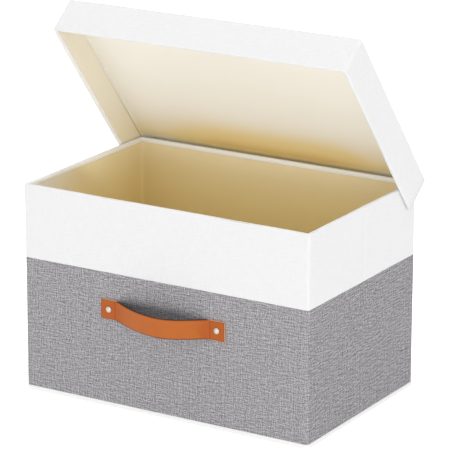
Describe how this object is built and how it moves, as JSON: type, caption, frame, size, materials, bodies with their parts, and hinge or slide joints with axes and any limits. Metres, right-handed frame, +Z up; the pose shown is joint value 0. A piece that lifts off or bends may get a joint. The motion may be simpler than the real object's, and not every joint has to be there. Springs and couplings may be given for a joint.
{
  "type": "fabric storage box",
  "caption": "Stiffened fabric box with a hinged lid, a white upper band over grey linen, a beige lining and a riveted leather pull strap on its front.",
  "frame": {"origin": "on the floor at the middle of the box's footprint", "axes": "+Z up, -Y the front with the strap handle, +Y the hinge side, +X to the right as seen from the front"},
  "size_m": [0.4396, 0.3295, 0.5068],
  "materials": {
    "white_fabric": "fine matte woven polyester, off-white",
    "grey_linen": "slubby linen-look weave, mid grey",
    "beige_lining": "smooth non-woven lining, cream beige",
    "stiffener_board": "raw grey-brown board",
    "leather": "smooth tan leather with burnished edges",
    "rivet_metal": "polished nickel, slightly warm"
  },
  "bodies": {
    "box": {"front_board": "stiffener_board", "back_board": "stiffener_board", "left_front_board": "stiffener_board", "left_rear_board": "stiffener_board", "right_front_board": "stiffener_board", "right_rear_board": "stiffener_board", "base_cover": "white_fabric", "base_binding": "white_fabric", "linen_cover": "grey_linen", "upper_cover": "white_fabric", "wall_lining": "beige_lining", "floor_lining": "beige_lining", "handle_strap": "leather", "handle_rivets": "rivet_metal", "rivet_back_caps": "rivet_metal"},
    "insert": {"insert_board": "stiffener_board", "insert_cover": "beige_lining"},
    "flap": {"hinge_flap": "white_fabric"},
    "lid": {"lid_top_board": "stiffener_board", "lid_front_board": "stiffener_board", "lid_left_board": "stiffener_board", "lid_right_board": "stiffener_board", "lid_cover": "white_fabric", "lid_lining": "beige_lining"}
  },
  "joints": [
    {"name": "seam_hinge", "type": "hinge", "parent": "box", "child": "flap", "pos_m": [0, 0.1407, 0.2715], "axis": [-1, 0, 0], "range_deg": [-51.4, 124.6]},
    {"name": "lid_fold", "type": "hinge", "parent": "flap", "child": "lid", "pos_m": [0, 0.15586, 0.2836], "axis": [-1, 0, 0], "range_deg": [0, 64]},
    {"name": "insert_lift", "type": "slide", "parent": "box", "child": "insert", "axis": [0, 0, 1], "range_m": [0, 0.275]}
  ]
}
